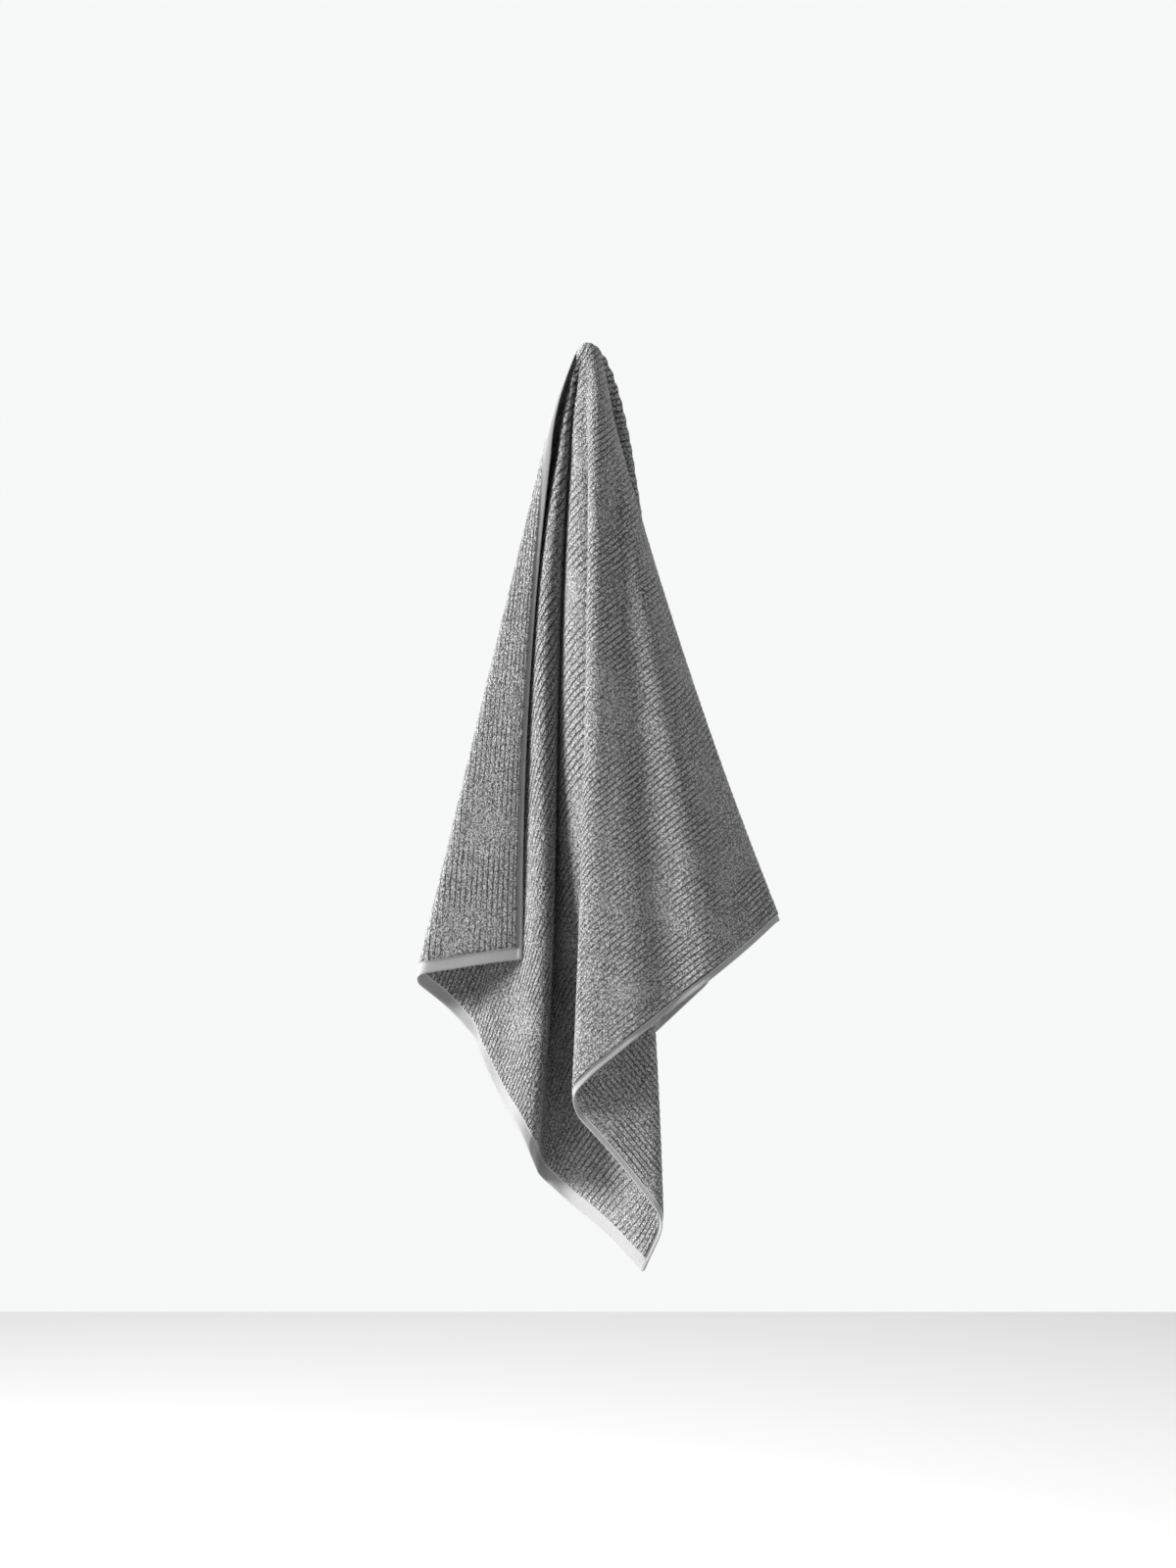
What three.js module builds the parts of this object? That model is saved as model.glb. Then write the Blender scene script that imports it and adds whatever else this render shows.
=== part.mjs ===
// Hand towel, hung by one spot near its edge so that it falls in uneven folds.
//
// The towel is one flat rectangle of ribbed terry with a plain woven hem on
// all four sides. It hangs from a point beside one long edge. Seen flat, every
// fold line runs straight from that point to the outline, so the cloth is
// built as a fan: one row of the table per fold line or fold crest, taken in
// order round the outline of the flat cloth. A row gives the place of the
// outline point in space, and the place where its line passes the neck, below
// the rounded top. Between the rows the cloth bends by each row's rounding.
//
// Millimetres, +Z up. The wall is on the +Y side and the front faces -Y.
// The origin is the top of the towel, over the point it hangs from.

import * as THREE from "three";

// Flat cloth
const WIDTH = 500; // end hems run this way
const LENGTH = 700; // side hems and ribs run this way
const HANG_AT = 490; // distance of the hanging point from end 1, along side 1
const SIDE_HEM = 5;
const END_HEM = 9.5;

// Cloth thickness
const TERRY = 3.2;
const HEM = 2.2;
const PRESSED = 1.2; // at the very top, where the cloth is gathered
const GATHERED = 1.8; // at the neck

// Top of the towel: where side 1 crosses, and the crown of the cloth
const TOP_EDGE = new THREE.Vector3(-10.5, 3, -4);
const CROWN_REACH = 26; // length of the first pull of each line over the crown
const NECK_PULL = 44; // how far above the neck a line already has its lower slope
const OPENED = 0.3; // share by which the folds open out above the neck
const OPENED_SPAN = 75; // span of flat outline that the opening-out averages

// Fold table. Columns: name; outline distance from corner 1, along end 1, side
// 2 and end 2; outline point x, y, z; neck point x, y, z; rounding along the
// outline; bulge at mid length in x and y; sway in x, which is the move at a
// fifth of the length, and as much the other way at four fifths.
const FOLDS = [
  ["corner_1", 0, -51.0, -27, -467.3, -30.0, -12, -85.2, 0, -6.5, 0, 0],
  ["flap_middle", 24, -72.7, -29.5, -469.6, -35.2, -11.5, -84.9, 10, -2, 0, 0],
  ["left_fold_front", 86, -130.0, -33, -478.6, -36.0, -4, -82.9, 8, 0, 0, 0],
  ["left_fold_back", 100, -131.5, -20, -485.5, -34.6, 2, -82.2, 8, 0, 0, 0],
  ["recess_1", 140, -108.0, -3, -505.4, -30.5, 8, -82.7, 20, 0, 0, 0],
  ["recess_2", 176, -87.0, -8, -528.6, -28.0, 10, -82.6, 12, 0, 0, 0],
  ["recess_3", 196, -82.7, -15, -541.9, -26.5, 8, -83.0, 12, 0, 0, 0],
  ["ridge_flank", 244, -68.0, -25, -573.4, -25.5, -3, -83.8, 20, 0, -4, -6],
  ["ridge_left", 286, -54.0, -44, -592.9, -22.5, -14, -84.6, 18, 0, 1, -5],
  ["ridge_right", 320, -43.4, -47, -616.1, -17.2, -9.5, -85.4, 12, 2.5, 4, -4.5],
  ["valley_left", 374, -39.5, 8, -634.0, -16.2, 2, -85.9, 14, 0, -8, 0],
  ["valley_right", 420, -16.0, 12, -655.3, -14.5, -9, -86.3, 14, -5.5, -19, 0],
  ["inner_middle", 462, 14.1, -10, -676.8, -8.5, -17.5, -87.2, 18, -4, -17, 0],
  ["corner_2", 500, 39.4, -33, -702.5, -4.0, -16.5, -87.0, 3, 4, -9, 0],
  ["inner_fold_back", 534, 53.5, -41, -670.7, -1.5, -16.5, -87.0, 8, 10, -2, 0],
  ["inner_fold_front", 550, 52.2, -50, -657.5, -0.6, -18.5, -87.3, 8, 10, -2, 0],
  ["middle_layer", 600, 17.8, -49, -613.7, -1.5, -21.5, -87.7, 22, 5, -3.5, 0],
  ["edge_fold_back", 646, -10.9, -52, -582.7, -1.5, -24, -88.0, 10, 3, -3, 0],
  ["edge_fold_front", 668, -14.3, -62, -566.9, -1.0, -28, -88.3, 10, 3, -2, 0],
  ["panel_1", 690, 0.9, -67, -550.7, 2.5, -30.5, -88.6, 10, 0, -2, 0],
  ["panel_2", 740, 37.0, -68, -521.2, 10.5, -26.5, -87.9, 24, 0, 3, 0],
  ["panel_dip", 768, 58.5, -56, -504.6, 14.0, -22.5, -87.2, 18, 0, 2, 0],
  ["panel_3", 815, 93.5, -57, -477.6, 19.0, -18, -86.2, 18, 0, -2, 0],
  ["panel_4", 853, 120.3, -36, -457.0, 22.0, -10, -84.9, 20, 0, 0, 0],
  ["right_fold_front", 888, 141.9, -19, -438.2, 23.6, -3.5, -83.3, 8, -6, 0, 0],
  ["right_fold_back", 900, 143.3, -6, -439.7, 23.6, 2.5, -82.7, 8, -6, 0, 0],
  ["back_1", 960, 88.6, 11, -462.8, 20.0, 7, -82.3, 28, 0, 0, 0],
  ["hidden_fold_front", 1035, 14.1, 16, -474.9, 10.0, 10, -83.0, 8, 0, 0, 0],
  ["hidden_fold_back", 1047, 12.2, 28, -477.5, 10.1, 15, -82.6, 8, 0, 0, 0],
  ["back_fold_front", 1128, 89.9, 27, -484.9, 30.6, 13, -78.6, 8, 0, 0, 0],
  ["back_fold_back", 1142, 91.4, 39, -488.5, 30.6, 20, -78.0, 8, 0, 0, 0],
  ["corner_3", 1200, 48.8, 40, -528.5, 19.2, 23.5, -79.7, 3, 0, 0, 0],
  ["rear_left_front", 1390, -50.8, 42, -366.5, 0.0, 27, -81.4, 8, 0, 0, 0],
  ["rear_left_back", 1403, -51.0, 53, -360.5, 0.0, 32, -80.9, 8, 0, 0, 0],
  ["rear_right_front", 1582, 44.9, 50, -207.6, 29.0, 31, -81.0, 8, 0, 0, 0],
  ["rear_right_back", 1596, 44.0, 60, -204.0, 29.0, 37.5, -80.4, 8, 0, 0, 0],
  ["corner_4", 1700, -44.9, 58, -172.5, -12.2, 43, -79.8, 0, 0, 0, 0],
].map(([name, at, hx, hy, hz, nx, ny, nz, round, bx, by, sway]) => ({
  name,
  at,
  round,
  hem: new THREE.Vector3(hx, hy, hz),
  neck: new THREE.Vector3(nx, ny, nz),
  bulge: new THREE.Vector3(bx, by, 0),
  sway: new THREE.Vector3(sway, 0, 0),
}));

// Rounding may use at most half of the gap to the next row.
FOLDS.forEach((row, i) => {
  const before = i > 0 ? row.at - FOLDS[i - 1].at : 0;
  const after = i < FOLDS.length - 1 ? FOLDS[i + 1].at - row.at : 0;
  row.round = Math.min(row.round, before / 2, after / 2);
});

// One column of the table at outline distance q, with its corners rounded.
function alongFolds(q, key) {
  const straight = (p) => {
    let i = 1;
    while (i < FOLDS.length - 1 && FOLDS[i].at < p) i++;
    const a = FOLDS[i - 1];
    const b = FOLDS[i];
    return a[key].clone().lerp(b[key], (p - a.at) / (b.at - a.at));
  };
  const near = FOLDS.find((row) => row.round > 0 && Math.abs(q - row.at) < row.round);
  if (!near) return straight(q);
  const u = (q - near.at + near.round) / (2 * near.round);
  const before = straight(near.at - near.round).lerp(near[key], u);
  const after = near[key].clone().lerp(straight(near.at + near.round), u);
  return before.lerp(after, u);
}

// Average of a column of the table over a span of outline.
function averaged(q, key, span) {
  const sum = new THREE.Vector3();
  const steps = 12;
  for (let k = 0; k <= steps; k++) {
    const p = q + span * (2 * (k / steps) - 1);
    sum.add(alongFolds(Math.min(Math.max(p, 0), END), key));
  }
  return sum.multiplyScalar(1 / (steps + 1));
}

const END = 2 * WIDTH + LENGTH;

// Flat place of an outline point, as offsets from the hanging point.
function flatOutline(q) {
  if (q <= WIDTH) return [q, HANG_AT];
  if (q <= WIDTH + LENGTH) return [WIDTH, HANG_AT - (q - WIDTH)];
  return [END - q, HANG_AT - LENGTH];
}

// Share of a fan line's length at which it meets the inner edge of the hem.
function hemStart(q) {
  const [across, down] = flatOutline(q);
  const shares = [1 - SIDE_HEM / Math.max(across, SIDE_HEM * 2)];
  if (q <= WIDTH) shares.push(1 - END_HEM / HANG_AT);
  if (q >= WIDTH + LENGTH) shares.push(1 - END_HEM / (LENGTH - HANG_AT));
  if (q > WIDTH && q < WIDTH + LENGTH) {
    const room = down > 0 ? HANG_AT : LENGTH - HANG_AT;
    shares.push((room - END_HEM) / Math.max(Math.abs(down), room - END_HEM));
  }
  if (q < WIDTH || q > WIDTH + LENGTH) {
    shares[0] = (WIDTH - SIDE_HEM) / Math.max(across, WIDTH - SIDE_HEM);
  }
  return Math.min(...shares);
}

// One fan line: over the crown to the neck, then straight to the outline.
function fanLine(q) {
  const hem = alongFolds(q, "hem");
  const neck = alongFolds(q, "neck");
  const bulge = alongFolds(q, "bulge");
  const sway = alongFolds(q, "sway");
  const [across, down] = flatOutline(q);
  const turn = Math.atan2(across, down); // 0 along side 1 down, half a turn up
  const slope = hem.clone().sub(neck).normalize();
  const wideHem = averaged(q, "hem", OPENED_SPAN);
  const wideNeck = averaged(q, "neck", OPENED_SPAN);
  const wideSlope = wideHem.clone().sub(wideNeck).normalize();
  const first = TOP_EDGE.clone().add(
    new THREE.Vector3(
      0.85 * Math.sin(turn) ** 2,
      -Math.cos(turn) * 0.8,
      0.8 * Math.sin(turn) - 0.3 * Math.cos(turn) ** 2,
    ).multiplyScalar(CROWN_REACH),
  );
  const above = neck.clone().addScaledVector(slope, -NECK_PULL);
  above.lerp(wideNeck.addScaledVector(wideSlope, -NECK_PULL), OPENED);
  const crown = new THREE.CubicBezierCurve3(TOP_EDGE, first, above, neck);
  return { crown, neck, hem, bulge, sway, hemShare: hemStart(q) };
}

// Columns: a few samples on each rounded corner and between the rows.
function outlineSamples() {
  const at = [];
  FOLDS.forEach((row, i) => {
    if (row.round === 0) at.push(row.at);
    else for (const f of [-1, -0.4, 0.4, 1]) at.push(row.at + f * row.round);
    const next = FOLDS[i + 1];
    if (!next) return;
    const gap = next.at - next.round - (row.at + row.round);
    const extra = Math.floor(gap / 55);
    for (let k = 1; k <= extra; k++) {
      at.push(row.at + row.round + (gap * k) / (extra + 1));
    }
  });
  at.sort((a, b) => a - b);
  return at.filter((q, i) => i === 0 || q - at[i - 1] > 1.5);
}

const CROWN_STEPS = [0.14, 0.28, 0.42, 0.56, 0.7, 0.85, 1];
const LINE_STEPS = [0.1, 0.22, 0.36, 0.52, 0.68, 0.84];

function buildTowel() {
  const columns = outlineSamples().map(fanLine);
  const grid = []; // grid[row][column] = { point, half }
  const top = { point: TOP_EDGE.clone(), half: PRESSED / 2 };
  for (const t of CROWN_STEPS) {
    const half = (PRESSED + (GATHERED - PRESSED) * t) / 2;
    grid.push(columns.map((c) => ({ point: c.crown.getPoint(t), half })));
  }
  const onLine = (c, share, half) => {
    const arch = share * (1 - share);
    const point = c.neck.clone().lerp(c.hem, share);
    point.addScaledVector(c.bulge, 4 * arch);
    point.addScaledVector(c.sway, 10.4 * arch * (1 - 2 * share));
    return { point, half };
  };
  // Share of the straight part below the neck at which the hem begins
  const hemOnLine = (c) => {
    const line = c.neck.distanceTo(c.hem);
    const whole = line + 1.05 * TOP_EDGE.distanceTo(c.neck);
    return 1 - ((1 - c.hemShare) * whole) / line;
  };
  for (const t of LINE_STEPS) {
    const half = (GATHERED + (TERRY - GATHERED) * Math.min(1, t / 0.36)) / 2;
    grid.push(columns.map((c) => onLine(c, t * hemOnLine(c), half)));
  }
  grid.push(columns.map((c) => onLine(c, hemOnLine(c) - 0.004, TERRY / 2)));
  grid.push(columns.map((c) => onLine(c, hemOnLine(c) + 0.001, HEM / 2)));
  grid.push(columns.map((c) => onLine(c, 1, HEM / 2)));

  // Normals from neighbouring grid points
  const rows = grid.length;
  const across = columns.length;
  const normals = grid.map((row, i) =>
    row.map((cell, j) => {
      const up = i > 0 ? grid[i - 1][j].point : top.point;
      const down = i < rows - 1 ? grid[i + 1][j].point : cell.point;
      const left = grid[i][Math.max(j - 1, 0)].point;
      const right = grid[i][Math.min(j + 1, across - 1)].point;
      const along = down.clone().sub(up);
      return right.clone().sub(left).cross(along).normalize();
    }),
  );
  const topNormal = new THREE.Vector3();
  normals[0].forEach((n) => topNormal.add(n));
  topNormal.normalize();

  // Two faces, side by side in one vertex list
  const vertices = [];
  for (const side of [1, -1]) {
    vertices.push(top.point.clone().addScaledVector(topNormal, side * top.half));
    grid.forEach((row, i) =>
      row.forEach((cell, j) => {
        vertices.push(cell.point.clone().addScaledVector(normals[i][j], side * cell.half));
      }),
    );
  }
  const face = rows * across + 1;
  const id = (side, i, j) => side * face + 1 + i * across + j;
  const triangles = [];
  const add = (side, a, b, c) => triangles.push(side ? [a, c, b] : [a, b, c]);
  for (const side of [0, 1]) {
    for (let j = 0; j < across - 1; j++) {
      add(side, side * face, id(side, 0, j), id(side, 0, j + 1));
      for (let i = 0; i < rows - 1; i++) {
        const [a, b] = [id(side, i, j), id(side, i, j + 1)];
        const [c, d] = [id(side, i + 1, j), id(side, i + 1, j + 1)];
        add(side, a, c, d);
        add(side, a, d, b);
      }
    }
  }
  // Edge of the cloth, all the way round
  const rim = [0];
  for (let i = 0; i < rows; i++) rim.push(1 + i * across);
  for (let j = 1; j < across; j++) rim.push(1 + (rows - 1) * across + j);
  for (let i = rows - 2; i >= 0; i--) rim.push(1 + i * across + across - 1);
  rim.forEach((a, k) => {
    const b = rim[(k + 1) % rim.length];
    triangles.push([a, a + face, b + face], [a, b + face, b]);
  });
  return { vertices, triangles };
}

function solidGeometry({ vertices, triangles }) {
  let volume = 0;
  for (const [a, b, c] of triangles) {
    volume += vertices[a].dot(vertices[b].clone().cross(vertices[c])) / 6;
  }
  const positions = [];
  for (const [a, b, c] of triangles) {
    const order = volume > 0 ? [a, b, c] : [a, c, b];
    for (const k of order) positions.push(...vertices[k].toArray());
  }
  const geometry = new THREE.BufferGeometry();
  geometry.setAttribute("position", new THREE.Float32BufferAttribute(positions, 3));
  geometry.computeVertexNormals();
  return geometry;
}

const terry = new THREE.MeshStandardMaterial({ color: 0x8c8d8f, roughness: 0.95 });
const towel = new THREE.Mesh(solidGeometry(buildTowel()), terry);
towel.name = "towel";

const root = new THREE.Group();
root.add(towel);
export default root;
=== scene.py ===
# %% [markdown]
# # A ribbed hand towel hung from one spot
#
# This lesson dresses a hanging hand towel in Blender. The towel is one flat
# piece of cloth: ribbed terry, 500 by 700 mm, with a plain woven hem turned
# over on all four sides. It hangs from a spot beside one long edge, and all
# its folds run down from there like the ribs of a fan.
#
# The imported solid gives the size, the collision and the mass. The cloth that
# shows is computed here with numpy, in the same place, and stands for it.

import bpy
import numpy as np
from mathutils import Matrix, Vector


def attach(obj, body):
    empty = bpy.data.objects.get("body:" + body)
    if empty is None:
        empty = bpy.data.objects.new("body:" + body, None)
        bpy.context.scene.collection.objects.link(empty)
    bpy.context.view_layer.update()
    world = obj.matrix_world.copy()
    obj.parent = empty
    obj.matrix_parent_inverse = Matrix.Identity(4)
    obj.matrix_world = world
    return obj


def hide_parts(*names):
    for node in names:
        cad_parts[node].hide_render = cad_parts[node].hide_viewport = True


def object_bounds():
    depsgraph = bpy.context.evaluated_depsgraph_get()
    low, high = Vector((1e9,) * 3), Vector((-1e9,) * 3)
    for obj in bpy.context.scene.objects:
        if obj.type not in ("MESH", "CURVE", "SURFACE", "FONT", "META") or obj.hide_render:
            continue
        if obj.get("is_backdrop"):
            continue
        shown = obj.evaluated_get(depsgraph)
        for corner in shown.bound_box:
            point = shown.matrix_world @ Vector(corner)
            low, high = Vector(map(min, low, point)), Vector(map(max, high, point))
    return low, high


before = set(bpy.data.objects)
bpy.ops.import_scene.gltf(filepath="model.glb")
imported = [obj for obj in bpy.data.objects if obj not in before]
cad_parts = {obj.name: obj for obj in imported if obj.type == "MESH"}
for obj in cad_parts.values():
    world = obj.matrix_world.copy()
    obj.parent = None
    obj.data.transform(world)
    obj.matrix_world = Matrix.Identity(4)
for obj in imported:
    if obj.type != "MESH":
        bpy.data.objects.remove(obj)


def plain_lists(value):
    """The value with vectors and arrays turned into plain lists of numbers."""
    if isinstance(value, dict):
        return {k: plain_lists(v) for k, v in value.items()}
    if isinstance(value, (int, float, str)) or value is None:
        return value
    return [plain_lists(v) for v in value]


cad_size = plain_lists(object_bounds())
print("nodes:", list(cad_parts), "box:", cad_size)

# %% [markdown]
# ## The flat cloth
#
# A towel is easiest to think about flat. `u` runs across it, from one long
# edge to the other, and `v` runs along it. The ribs follow `v`, as they do on
# the loom, where each rib is a line of pile loops on one group of warp ends.
#
# The hanging spot lies on the long edge `u = 0`, at `v = 490`. Seen flat, each
# fold is a straight line from that spot to the outline, because cloth that is
# held at one spot hangs nearly along straight lines from it.

# %% Sizes of the flat cloth, in millimetres
WIDTH, LENGTH, HANG_AT = 500.0, 700.0, 490.0
SIDE_HEM, END_HEM = 5.0, 9.5
TERRY, HEM, PRESSED, GATHERED = 3.2, 2.2, 1.2, 1.8
RIBS = 107
END = 2 * WIDTH + LENGTH
TOP_EDGE = np.array([-10.5, 3.0, -4.0])
CROWN_REACH, NECK_PULL, OPENED, OPENED_SPAN = 26.0, 44.0, 0.3, 75.0
PILE_FROM = SIDE_HEM + 0.4
PITCH = (WIDTH - 2 * PILE_FROM) / RIBS
print("rib pitch:", round(PITCH, 2), "mm")

# %% [markdown]
# ## The fold table
#
# One row for each fold or crest, in order round the outline of the flat cloth.
# A row holds the distance round the outline, the place of that outline point
# in space, the place where its line passes the neck under the rounded top, how
# widely the cloth bends there, a bulge at mid length, and a sway: the move at
# a fifth of the length, and as much the other way at four fifths. The same
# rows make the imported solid, so the two fit each other.

# %% Fold table, in millimetres
FOLDS = np.array([
    # outline, hem x, y, z, neck x, y, z, rounding, bulge x, y, sway x
    [0, -51.0, -27, -467.3, -30.0, -12, -85.2, 0, -6.5, 0, 0],  # corner 1
    [24, -72.7, -29.5, -469.6, -35.2, -11.5, -84.9, 10, -2, 0, 0],  # flap
    [86, -130.0, -33, -478.6, -36.0, -4, -82.9, 8, 0, 0, 0],  # left fold, front
    [100, -131.5, -20, -485.5, -34.6, 2, -82.2, 8, 0, 0, 0],  # left fold, back
    [140, -108.0, -3, -505.4, -30.5, 8, -82.7, 20, 0, 0, 0],  # recess
    [176, -87.0, -8, -528.6, -28.0, 10, -82.6, 12, 0, 0, 0],
    [196, -82.7, -15, -541.9, -26.5, 8, -83.0, 12, 0, 0, 0],
    [244, -68.0, -25, -573.4, -25.5, -3, -83.8, 20, 0, -4, -6],  # ridge
    [286, -54.0, -44, -592.9, -22.5, -14, -84.6, 18, 0, 1, -5],
    [320, -43.4, -47, -616.1, -17.2, -9.5, -85.4, 12, 2.5, 4, -4.5],
    [374, -39.5, 8, -634.0, -16.2, 2, -85.9, 14, 0, -8, 0],  # valley
    [420, -16.0, 12, -655.3, -14.5, -9, -86.3, 14, -5.5, -19, 0],
    [462, 14.1, -10, -676.8, -8.5, -17.5, -87.2, 18, -4, -17, 0],  # inner layer
    [500, 39.4, -33, -702.5, -4.0, -16.5, -87.0, 3, 4, -9, 0],  # corner 2
    [534, 53.5, -41, -670.7, -1.5, -16.5, -87.0, 8, 10, -2, 0],  # inner fold
    [550, 52.2, -50, -657.5, -0.6, -18.5, -87.3, 8, 10, -2, 0],
    [600, 17.8, -49, -613.7, -1.5, -21.5, -87.7, 22, 5, -3.5, 0],  # middle layer
    [646, -10.9, -52, -582.7, -1.5, -24, -88.0, 10, 3, -3, 0],  # panel edge
    [668, -14.3, -62, -566.9, -1.0, -28, -88.3, 10, 3, -2, 0],
    [690, 0.9, -67, -550.7, 2.5, -30.5, -88.6, 10, 0, -2, 0],  # front panel
    [740, 37.0, -68, -521.2, 10.5, -26.5, -87.9, 24, 0, 3, 0],
    [768, 58.5, -56, -504.6, 14.0, -22.5, -87.2, 18, 0, 2, 0],
    [815, 93.5, -57, -477.6, 19.0, -18, -86.2, 18, 0, -2, 0],
    [853, 120.3, -36, -457.0, 22.0, -10, -84.9, 20, 0, 0, 0],
    [888, 141.9, -19, -438.2, 23.6, -3.5, -83.3, 8, -6, 0, 0],  # right fold
    [900, 143.3, -6, -439.7, 23.6, 2.5, -82.7, 8, -6, 0, 0],
    [960, 88.6, 11, -462.8, 20.0, 7, -82.3, 28, 0, 0, 0],  # back layers
    [1035, 14.1, 16, -474.9, 10.0, 10, -83.0, 8, 0, 0, 0],
    [1047, 12.2, 28, -477.5, 10.1, 15, -82.6, 8, 0, 0, 0],
    [1128, 89.9, 27, -484.9, 30.6, 13, -78.6, 8, 0, 0, 0],
    [1142, 91.4, 39, -488.5, 30.6, 20, -78.0, 8, 0, 0, 0],
    [1200, 48.8, 40, -528.5, 19.2, 23.5, -79.7, 3, 0, 0, 0],  # corner 3
    [1390, -50.8, 42, -366.5, 0.0, 27, -81.4, 8, 0, 0, 0],
    [1403, -51.0, 53, -360.5, 0.0, 32, -80.9, 8, 0, 0, 0],
    [1582, 44.9, 50, -207.6, 29.0, 31, -81.0, 8, 0, 0, 0],
    [1596, 44.0, 60, -204.0, 29.0, 37.5, -80.4, 8, 0, 0, 0],
    [1700, -44.9, 58, -172.5, -12.2, 43, -79.8, 0, 0, 0, 0],  # corner 4
])
at = FOLDS[:, 0]
gaps = np.diff(at)
room = np.concatenate([[0], np.minimum(gaps[:-1], gaps[1:]) / 2, [0]])
rounding = np.minimum(FOLDS[:, 7], room)
print("fold rows:", len(FOLDS))


# %% Read the table at any distance round the outline
def straight(q, cols):
    """Table columns at outline distance q, joined by straight lines."""
    return np.stack([np.interp(q, at, FOLDS[:, c]) for c in cols], -1)


def along_folds(q, cols):
    """As straight, but each row's corner is the parabola that leaves the
    line before it and joins the line after it, one rounding away."""
    q = np.asarray(q, float)
    out = straight(q, cols)
    near = np.abs(q[..., None] - at).argmin(-1)
    r, mid = rounding[near], at[near]
    inside = np.abs(q - mid) < r
    rr = np.where(r > 0, r, 1)
    u = ((q - mid + rr) / (2 * rr))[..., None]
    a, b, c = (straight(x, cols) for x in (mid - rr, mid, mid + rr))
    bent = (1 - u) ** 2 * a + 2 * u * (1 - u) * b + u**2 * c
    return np.where(inside[..., None], bent, out)


HEM_AT, NECK_AT, BULGE, SWAY = (1, 2, 3), (4, 5, 6), (8, 9), (10,)
print("hem at the left fold:", along_folds(93.0, HEM_AT).round(1))

# %% [markdown]
# ## The fan lines
#
# Each fan line climbs over the rounded crown as a cubic curve, and runs
# straight from the neck to the outline. Above the neck the folds open out, so
# the top stays smooth where it lies on its support. The lines are sampled by
# their own length, so their points are evenly spaced from top to hem.


# %% Fan lines as one array
def fan_lines(q, samples):
    """Points along the fan line of each outline distance in q.
    The crown is a cubic curve from the top edge to the neck; the rest is the
    straight line from neck to hem, plus bulge times 4 s (1 - s), plus sway
    times 10.4 s (1 - s) (1 - 2 s). The points are evenly spaced along it."""
    hem, neck, bulge, sway = (along_folds(q, c) for c in (HEM_AT, NECK_AT, BULGE, SWAY))
    spread = np.linspace(-OPENED_SPAN, OPENED_SPAN, 13)
    wide_q = np.clip(q[:, None] + spread, 0, END)
    wide_hem = along_folds(wide_q, HEM_AT).mean(1)
    wide_neck = along_folds(wide_q, NECK_AT).mean(1)

    def unit(x):
        return x / np.linalg.norm(x, axis=-1, keepdims=True)

    across = np.where(q <= WIDTH, q, np.where(q <= WIDTH + LENGTH, WIDTH, END - q))
    down = np.where(q <= WIDTH, HANG_AT, np.maximum(HANG_AT - (q - WIDTH), HANG_AT - LENGTH))
    turn = np.arctan2(across, down)
    s, c = np.sin(turn), np.cos(turn)
    first = TOP_EDGE + CROWN_REACH * np.stack([0.85 * s**2, -0.8 * c, 0.8 * s - 0.3 * c**2], -1)
    above = neck - NECK_PULL * unit(hem - neck)
    wide = wide_neck - NECK_PULL * unit(wide_hem - wide_neck)
    above = above + OPENED * (wide - above)
    t = np.linspace(0, 1, 60)[None, :, None]
    crown = ((1 - t) ** 3 * TOP_EDGE + 3 * (1 - t) ** 2 * t * first[:, None]
             + 3 * (1 - t) * t**2 * above[:, None] + t**3 * neck[:, None])
    w = np.linspace(0, 1, 160)[1:][None, :, None]
    line = neck[:, None] + w * (hem - neck)[:, None]
    line[..., :2] += 4 * w * (1 - w) * bulge[:, None]
    line[..., :1] += 10.4 * w * (1 - w) * (1 - 2 * w) * sway[:, None]
    path = np.concatenate([crown, line], 1)
    steps = np.linalg.norm(np.diff(path, axis=1), axis=-1)
    length = np.concatenate([np.zeros((len(q), 1)), steps.cumsum(1)], 1)
    goal = np.linspace(0, 1, samples)
    even = np.stack([
        np.stack([np.interp(goal * l[-1], l, p[:, k]) for k in range(3)], -1)
        for l, p in zip(length, path)])
    return even, length[:, 59] / length[:, -1], length[:, -1]


Q_STEPS, S_STEPS = 1701, 421
lines, neck_share, line_length = fan_lines(np.linspace(0, END, Q_STEPS), S_STEPS)
print("fan lines:", lines.shape, "shortest and longest:",
      line_length.min().round(), line_length.max().round(), "mm")

# %% [markdown]
# ## From flat cloth to hanging cloth
#
# A point of the flat cloth lies on one fan line. Its direction from the
# hanging spot picks the line, and its share of the way to the outline says how
# far down that line it is. The table is fitted, so the hung cloth does
# not keep the flat lengths exactly: the lines measure 0.91 to 1.06 of theirs,
# and the hem, from fold to fold, 0.63 to 1.13 of its own.


# %% Map flat points into space
def lookup(table, q, s):
    """Bilinear reading of a table over outline distance q and share s."""
    x = np.clip(q / END * (Q_STEPS - 1), 0, Q_STEPS - 1.001)
    y = np.clip(s * (S_STEPS - 1), 0, S_STEPS - 1.001)
    i, j = x.astype(int), y.astype(int)
    fx, fy = (x - i)[..., None], (y - j)[..., None]
    return ((1 - fx) * (1 - fy) * table[i, j] + fx * (1 - fy) * table[i + 1, j]
            + (1 - fx) * fy * table[i, j + 1] + fx * fy * table[i + 1, j + 1])


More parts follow.
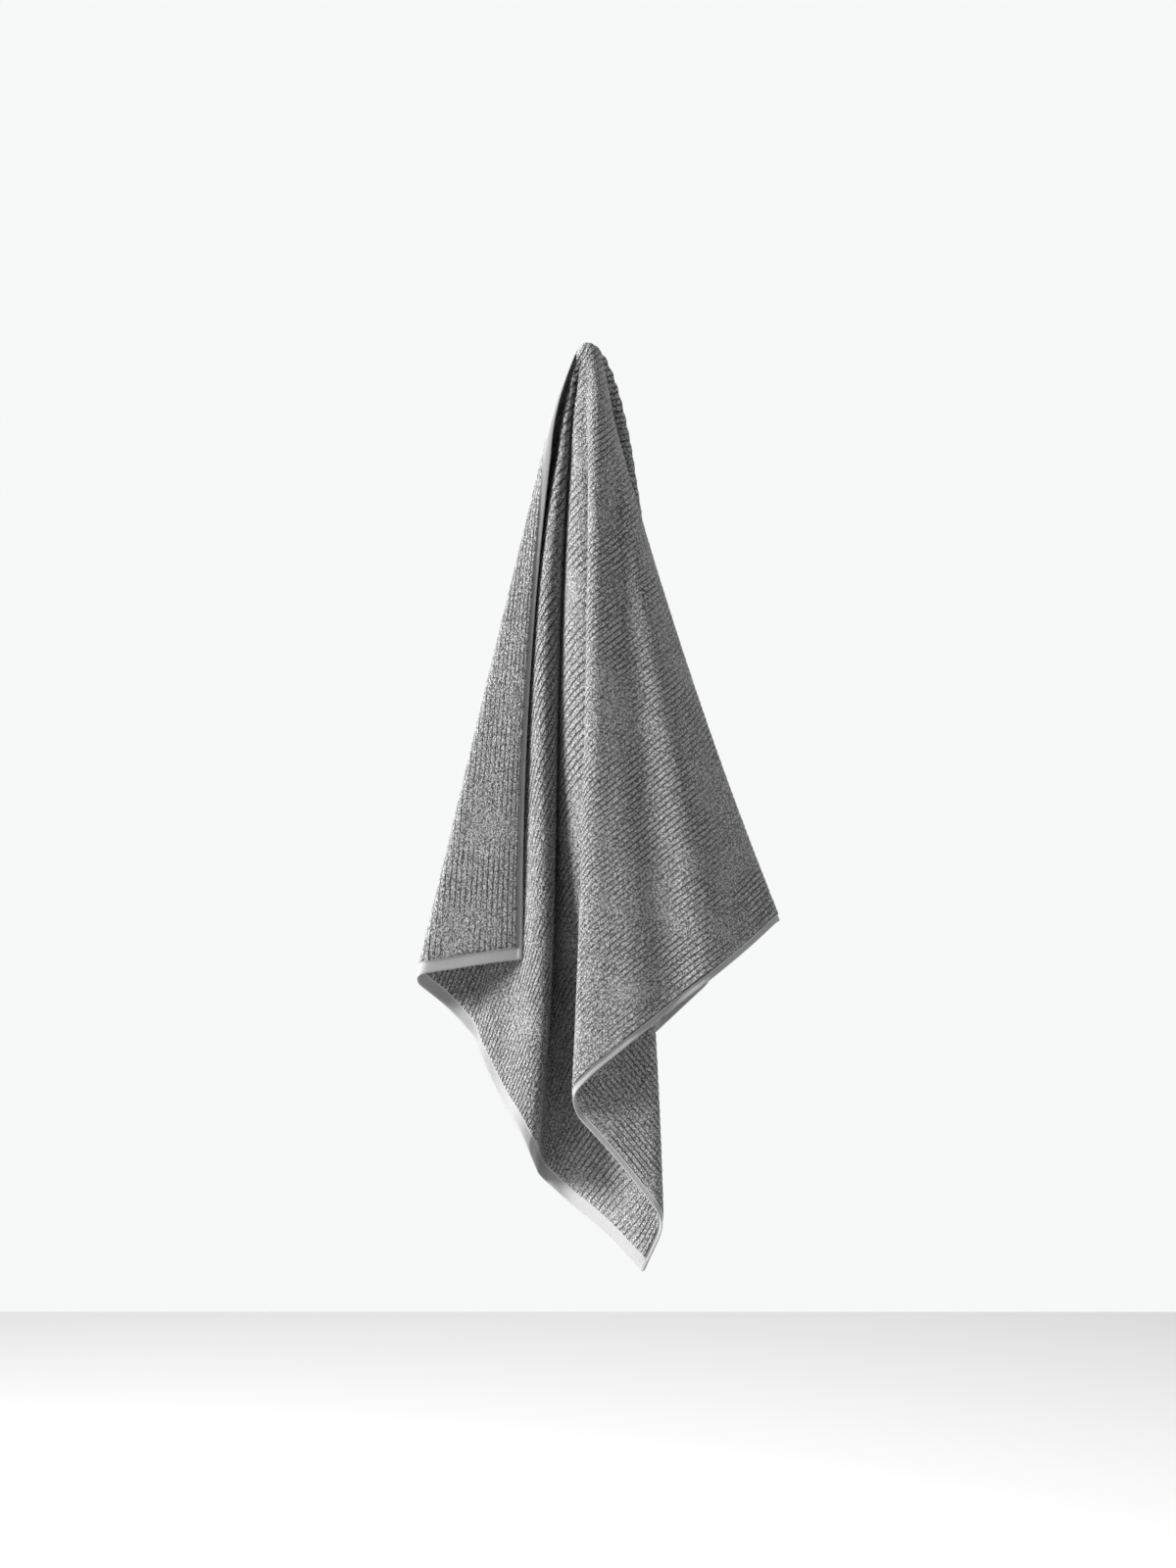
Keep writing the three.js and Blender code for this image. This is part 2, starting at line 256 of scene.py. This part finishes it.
def fan_place(u, v):
    """Outline distance and share of flat point (u, v): the ray from the
    hanging spot through the point is cut with end 1, side 2 and end 2, and
    the nearest cut gives both."""
    down = HANG_AT - v
    share_end = np.where(down >= 0, down / HANG_AT, -down / (LENGTH - HANG_AT))
    share_side = u / WIDTH
    share = np.maximum(np.maximum(share_end, share_side), 1e-6)
    hit_u, hit_v = u / share, HANG_AT - down / share
    q = np.where(share_side >= share_end, WIDTH + hit_v,
                 np.where(down >= 0, hit_u, END - hit_u))
    return np.clip(q, 0, END), np.clip(share, 0, 1)


def cloth_middle(u, v):
    """Middle surface of the hanging cloth at flat point (u, v), in mm."""
    q, s = fan_place(u, v)
    return lookup(lines, q, s)


print("corner 2 hangs at", cloth_middle(np.array(500.0), np.array(0.0)).round(1))

# %% [markdown]
# ## Thickness, ribs and hems
#
# The pile stands up in ribs with a groove between them, so the grid has two
# columns for each rib: one on the crest and one in the groove. The hem is the
# ground cloth turned over and stitched. It has no pile, so it is thinner, with
# a stitched groove where the pile starts. At the top the gathered cloth is
# pressed thin.

# %% Grid lines across and along the towel
hem_steps = np.array([0, 0.12, 0.32, 0.6, 0.86, 0.97])
hem_across, hem_along = hem_steps * SIDE_HEM, hem_steps * END_HEM
rib_cols = np.linspace(PILE_FROM, WIDTH - PILE_FROM, 2 * RIBS + 1)
pile_rows = np.linspace(END_HEM + 0.5, LENGTH - END_HEM - 0.5, 203)
U = np.concatenate([hem_across, rib_cols, WIDTH - hem_across[::-1]])
V = np.concatenate([hem_along, pile_rows, LENGTH - hem_along[::-1]])
gu, gv = np.meshgrid(U, V, indexing="ij")
print("grid:", gu.shape)


# %% Half thickness at each grid point
def edge_profile(distance, width):
    """Half thickness of a turned-over hem: round at the edge, flat over the
    fold, and pinched by the stitching where the pile begins."""
    f = distance / width
    return HEM / 2 * np.interp(f, hem_steps, [0.2, 0.72, 1, 1.04, 0.95, 0.55])


rng = np.random.default_rng(7)
from_side = np.minimum(gu, WIDTH - gu)
from_end = np.minimum(gv, LENGTH - gv)
is_pile = (from_side > SIDE_HEM) & (from_end > END_HEM)
is_crest = np.zeros(len(U), bool)
is_crest[len(hem_across):-len(hem_across)] = np.arange(len(rib_cols)) % 2 == 1
q_grid, share = fan_place(gu, gv)
way = share * np.interp(q_grid, np.linspace(0, END, Q_STEPS), line_length)
gather = np.interp(way, [0, 95, 245], [PRESSED / TERRY, GATHERED / TERRY, 1])
crumb = rng.normal(0, 0.06, (2,) + gu.shape)
rib = np.where(is_crest[:, None], 1.06, 0.84)
hem_half = np.minimum(edge_profile(from_side, SIDE_HEM), edge_profile(from_end, END_HEM))
half = [np.where(is_pile, TERRY / 2 * rib + crumb[k], hem_half) * gather for k in (0, 1)]
print("thickness from", (2 * half[0].min()).round(2), "to", (2 * half[0].max()).round(2), "mm")

# %% [markdown]
# ## The mesh
#
# The two faces are the middle surface pushed out along its normal, and a strip
# round the edge closes them into one body. The UV map holds the flat place in
# metres, so weave and ribs follow the cloth at its flat scale.


# %% Build the closed cloth
def grid_normals(p):
    """Unit normals of a grid of points: the cross product of the slopes
    along its two directions."""
    n = np.cross(np.gradient(p, axis=0), np.gradient(p, axis=1))
    return n / np.maximum(np.linalg.norm(n, axis=-1, keepdims=True), 1e-9)


middle = cloth_middle(gu, gv)
normals = grid_normals(middle)
faces_out = [middle + normals * half[0][..., None], middle - normals * half[1][..., None]]
nu, nv = gu.shape
index = np.arange(nu * nv).reshape(nu, nv)
quads = np.stack([index[:-1, :-1], index[1:, :-1], index[1:, 1:], index[:-1, 1:]], -1)
quads = quads.reshape(-1, 4)
back = quads[:, ::-1] + nu * nv
loop = np.concatenate([index[:-1, 0], index[-1, :-1], index[:0:-1, -1], index[0, :0:-1]])
after = np.roll(loop, -1)
rim = np.stack([loop, loop + nu * nv, after + nu * nv, after], -1)
all_quads = np.concatenate([quads, back, rim])
points = np.concatenate([f.reshape(-1, 3) for f in faces_out]) / 1000
print("points:", len(points), "quads:", len(all_quads))


def closed_volume(p, f):
    """Signed volume of a closed quad mesh: a sum over its faces' triangles."""
    a, b, c, d = (p[f[:, k]] for k in range(4))
    return np.einsum("ij,ij->i", a, np.cross(b, c) + np.cross(c, d)).sum() / 6


if closed_volume(points, all_quads) < 0:
    all_quads = all_quads[:, ::-1]
mesh = bpy.data.meshes.new("terry_towel")
mesh.from_pydata(points.tolist(), [], all_quads.tolist())
flat_uv = np.tile(np.stack([gu, gv], -1).reshape(-1, 2) / 1000, (2, 1))
uv = mesh.uv_layers.new(name="flat")
uv.data.foreach_set("uv", flat_uv[all_quads.ravel()].ravel().astype(np.float32))
mesh.polygons.foreach_set("use_smooth", np.ones(len(all_quads), bool))
on_hem = ~np.tile(is_pile.ravel(), 2)
mesh.polygons.foreach_set("material_index", on_hem[all_quads].any(1).astype(np.int32))
mesh.update()
towel = bpy.data.objects.new("terry_towel", mesh)
bpy.context.scene.collection.objects.link(towel)
print("volume:", round(closed_volume(points, all_quads) * 1e6), "cm3")

# %% [markdown]
# ## Terry
#
# Terry is a field of small cotton loops. Light catches the tops of the loops
# and the grooves between the ribs stay dark. A cell pattern in object space
# makes the crumb of the loops, and a wave over the UV map makes the ribs. Soft
# patches of noise let the grooves fade where the pile is ruffled. The same
# height also sets the base colour, darker where it is low: that is painted
# shade in the rib grooves and between the loops, added to the bump.


# %% Helpers for node materials
def new_material(name):
    """An empty node material and its node adder, linker and shader."""
    mat = bpy.data.materials.new(name)
    mat.use_nodes = True
    nodes, links = mat.node_tree.nodes, mat.node_tree.links
    shader = nodes["Principled BSDF"]

    def add(kind, **values):
        node = nodes.new(kind)
        for key, value in values.items():
            if key in node.inputs.keys():
                node.inputs[key].default_value = value
            else:
                setattr(node, key, value)
        return node

    return mat, add, links.new, shader


def sum_of(add, link, source, factor, extra):
    """The socket source times factor, plus extra (a number or a socket)."""
    node = add("ShaderNodeMath", operation="MULTIPLY_ADD")
    link(source, node.inputs[0])
    node.inputs[1].default_value = factor
    if isinstance(extra, (int, float)):
        node.inputs[2].default_value = extra
    else:
        link(extra, node.inputs[2])
    return node.outputs[0]


def stretch(add, link, source, low, high):
    """The socket source moved from low..high to 0..1, and clipped there."""
    node = add("ShaderNodeMapRange")
    node.inputs["From Min"].default_value = low
    node.inputs["From Max"].default_value = high
    link(source, node.inputs["Value"])
    return node.outputs["Result"]


def ramp(add, stops):
    """A colour ramp with stops of (position, grey)."""
    node = add("ShaderNodeValToRGB")
    cr = node.color_ramp
    cr.elements[0].position, cr.elements[1].position = stops[0][0], stops[-1][0]
    for pos, _ in stops[1:-1]:
        cr.elements.new(pos)
    for e, (_, g) in zip(cr.elements, stops):
        e.color = (g, g, g, 1)
    return node


# %% Ribbed terry
terry, add, link, shader = new_material("ribbed_terry")
coords = add("ShaderNodeTexCoord").outputs["Object"]
loops = add("ShaderNodeTexVoronoi", feature="SMOOTH_F1", Scale=820.0, Smoothness=0.1,
            Randomness=1.0)
fuzz = add("ShaderNodeTexNoise", Scale=640.0, Detail=3.0, Roughness=0.7)
wobble = add("ShaderNodeTexNoise", Scale=240.0, Detail=2.0, Roughness=0.6)
patches = add("ShaderNodeTexNoise", Scale=26.0, Detail=2.0, Roughness=0.55)
for texture in (loops, fuzz, wobble, patches):
    link(coords, texture.inputs["Vector"])
split = add("ShaderNodeSeparateXYZ")
link(add("ShaderNodeUVMap", uv_map="flat").outputs["UV"], split.inputs["Vector"])
turns = 2 * np.pi / (PITCH / 1000)
phase = sum_of(add, link, split.outputs["X"], turns, np.pi - turns * PILE_FROM / 1000)
phase = sum_of(add, link, wobble.outputs["Fac"], 2.2, phase)
wave = add("ShaderNodeMath", operation="COSINE")
link(phase, wave.inputs[0])
groove = add("ShaderNodeMath", operation="POWER")
link(stretch(add, link, wave.outputs[0], 1.0, -1.0), groove.inputs[0])
groove.inputs[1].default_value = 7.0
crumb_tops = stretch(add, link, loops.outputs["Distance"], 0.75, 0.1)
height = sum_of(add, link, stretch(add, link, fuzz.outputs["Fac"], 0.36, 0.64), 0.8, crumb_tops)
faded = add("ShaderNodeMath", operation="MULTIPLY")
link(groove.outputs[0], faded.inputs[0])
link(stretch(add, link, patches.outputs["Fac"], 0.33, 0.58), faded.inputs[1])
height = sum_of(add, link, faded.outputs[0], -1.1, height)
bump = add("ShaderNodeBump", Strength=1.0, Distance=0.001)
link(height, bump.inputs["Height"])
link(bump.outputs["Normal"], shader.inputs["Normal"])
# Painted shade: the base colour darkens with the height, near black in the rib grooves and
# between the loops.
shade_and_thread_tone = ramp(add, [(0.0, 0.03), (0.35, 0.15), (0.6, 0.36), (0.95, 0.62)])
link(stretch(add, link, height, 0.0, 1.65), shade_and_thread_tone.inputs["Fac"])
patch_tone = ramp(add, [(0.3, 0.8), (0.7, 1.0)])
link(patches.outputs["Fac"], patch_tone.inputs["Fac"])
shade = add("ShaderNodeMix", data_type="RGBA", blend_type="MULTIPLY")
shade.inputs["Factor"].default_value = 0.5
link(shade_and_thread_tone.outputs["Color"], shade.inputs["A"])
link(patch_tone.outputs["Color"], shade.inputs["B"])
link(shade.outputs["Result"], shader.inputs["Base Color"])
shader.inputs["Roughness"].default_value = 0.95
shader.inputs["Specular IOR Level"].default_value = 0.2
shader.inputs["Sheen Weight"].default_value = 0.2
shader.inputs["Sheen Roughness"].default_value = 0.6
print("terry material:", len(terry.node_tree.nodes), "nodes")

# %% [markdown]
# ## Hem
#
# The hem is plain ground weave, turned over. It is smooth beside the pile, so
# it looks lighter and shows only a fine thread.

# %% Plain woven hem
hem_mat, add, link, shader = new_material("woven_hem")
thread = add("ShaderNodeTexWave", wave_type="BANDS", bands_direction="DIAGONAL",
             Scale=420.0, Distortion=0.6, Detail=1.0)
link(add("ShaderNodeUVMap", uv_map="flat").outputs["UV"], thread.inputs["Vector"])
grain = add("ShaderNodeTexNoise", Scale=900.0, Detail=3.0, Roughness=0.6)
link(add("ShaderNodeTexCoord").outputs["Object"], grain.inputs["Vector"])
both = sum_of(add, link, thread.outputs["Fac"], 0.5, grain.outputs["Fac"])
bump = add("ShaderNodeBump", Strength=0.6, Distance=0.0003)
link(both, bump.inputs["Height"])
link(bump.outputs["Normal"], shader.inputs["Normal"])
shade_and_thread_tone = ramp(add, [(0.0, 0.2), (1.0, 0.3)])
link(stretch(add, link, both, 0.25, 1.1), shade_and_thread_tone.inputs["Fac"])
link(shade_and_thread_tone.outputs["Color"], shader.inputs["Base Color"])
shader.inputs["Roughness"].default_value = 0.9
shader.inputs["Specular IOR Level"].default_value = 0.25
shader.inputs["Sheen Weight"].default_value = 0.1
mesh.materials.append(terry)
mesh.materials.append(hem_mat)
print("hem material:", len(hem_mat.node_tree.nodes), "nodes")

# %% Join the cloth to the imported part
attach(towel, "root")
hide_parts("towel")
print("the cloth stands for the packed solid")

# %% [markdown]
# ## Camera, light and floor
#
# The camera looks straight at the towel from 2.6 m, with its frame 0.894 by
# 1.192 m at the towel. The main light is a square of one metre far to the left
# and a little above, so it rakes the ribs. A wide, weak light from the right
# keeps the folds there readable, and a third one behind the towel lights the
# floor. The backdrop looks bright to the camera only. It sends hardly any
# light to the cloth, so the shade between the folds stays deep.

# %% Camera
PIXEL = 0.7453  # millimetres of towel per pixel of the 1200 by 1600 frame
FRAME_HEIGHT, DISTANCE, SENSOR = 1600, 2600, 36.0  # pixels, mm, mm
camera = bpy.data.objects.new("camera", bpy.data.cameras.new("camera"))
bpy.context.scene.collection.objects.link(camera)
camera.location = (-0.0022, -DISTANCE / 1000, -0.3354)
camera.rotation_euler = (np.pi / 2, 0, 0)
camera.data.sensor_fit = "VERTICAL"
camera.data.sensor_height = SENSOR
camera.data.lens = SENSOR * DISTANCE / (FRAME_HEIGHT * PIXEL)
camera.data.clip_end = 50
bpy.context.scene.camera = camera
print("lens:", round(camera.data.lens, 1), "mm")


# %% Lights, backdrop and floor
FLOOR_Z = -1.2


def area_light(name, place, target, size, power):
    """A square area light at place, turned to face target."""
    lamp = bpy.data.lights.new(name, "AREA")
    lamp.shape, lamp.size, lamp.energy = "SQUARE", size, power
    obj = bpy.data.objects.new(name, lamp)
    obj.location = place
    away = np.array(place, float) - np.array(target, float)
    flat = np.hypot(away[0], away[1])
    obj.rotation_euler = (np.arctan2(flat, away[2]), 0, np.arctan2(away[0], -away[1]))
    bpy.context.scene.collection.objects.link(obj)


area_light("key", (-2.75, -0.85, 0.6), (0, 0, -0.35), 1.0, 300.0)
area_light("side fill", (3.0, -0.6, -0.2), (0, 0, -0.35), 3.0, 80.0)
area_light("overhead", (0, 2.4, 2.6), (0, 2.4, FLOOR_Z), 4.0, 130.0)

world = bpy.data.worlds.new("studio")
bpy.context.scene.world = world
world.use_nodes = True
wn, wl = world.node_tree.nodes, world.node_tree.links
backdrop = wn["Background"]
backdrop.inputs["Color"].default_value = (0.93, 0.94, 0.94, 1)
backdrop.inputs["Strength"].default_value = 1.0
dim = wn.new("ShaderNodeBackground")
dim.inputs["Color"].default_value = (1, 1, 1, 1)
dim.inputs["Strength"].default_value = 0.05
path_node = wn.new("ShaderNodeLightPath")
choose = wn.new("ShaderNodeMixShader")
wl.new(path_node.outputs["Is Camera Ray"], choose.inputs["Fac"])
wl.new(dim.outputs[0], choose.inputs[1])
wl.new(backdrop.outputs[0], choose.inputs[2])
wl.new(choose.outputs[0], wn["World Output"].inputs["Surface"])

floor_mesh = bpy.data.meshes.new("floor")
floor_corners = [(-6, -6, FLOOR_Z), (6, -6, FLOOR_Z), (6, 3, FLOOR_Z), (-6, 3, FLOOR_Z)]
floor_mesh.from_pydata(floor_corners, [], [(0, 1, 2, 3)])
floor = bpy.data.objects.new("floor", floor_mesh)
bpy.context.scene.collection.objects.link(floor)
floor_mat, add, link, shader = new_material("pale_floor")
shader.inputs["Base Color"].default_value = (0.72, 0.72, 0.72, 1)
shader.inputs["Roughness"].default_value = 0.9
floor_mesh.materials.append(floor_mat)
floor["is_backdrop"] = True
bpy.context.scene.view_settings.view_transform = "Standard"

# %% Show both sizes and finish
{"cad": cad_size, "dressed": plain_lists(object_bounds())}
print("dressed box:", plain_lists(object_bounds()))
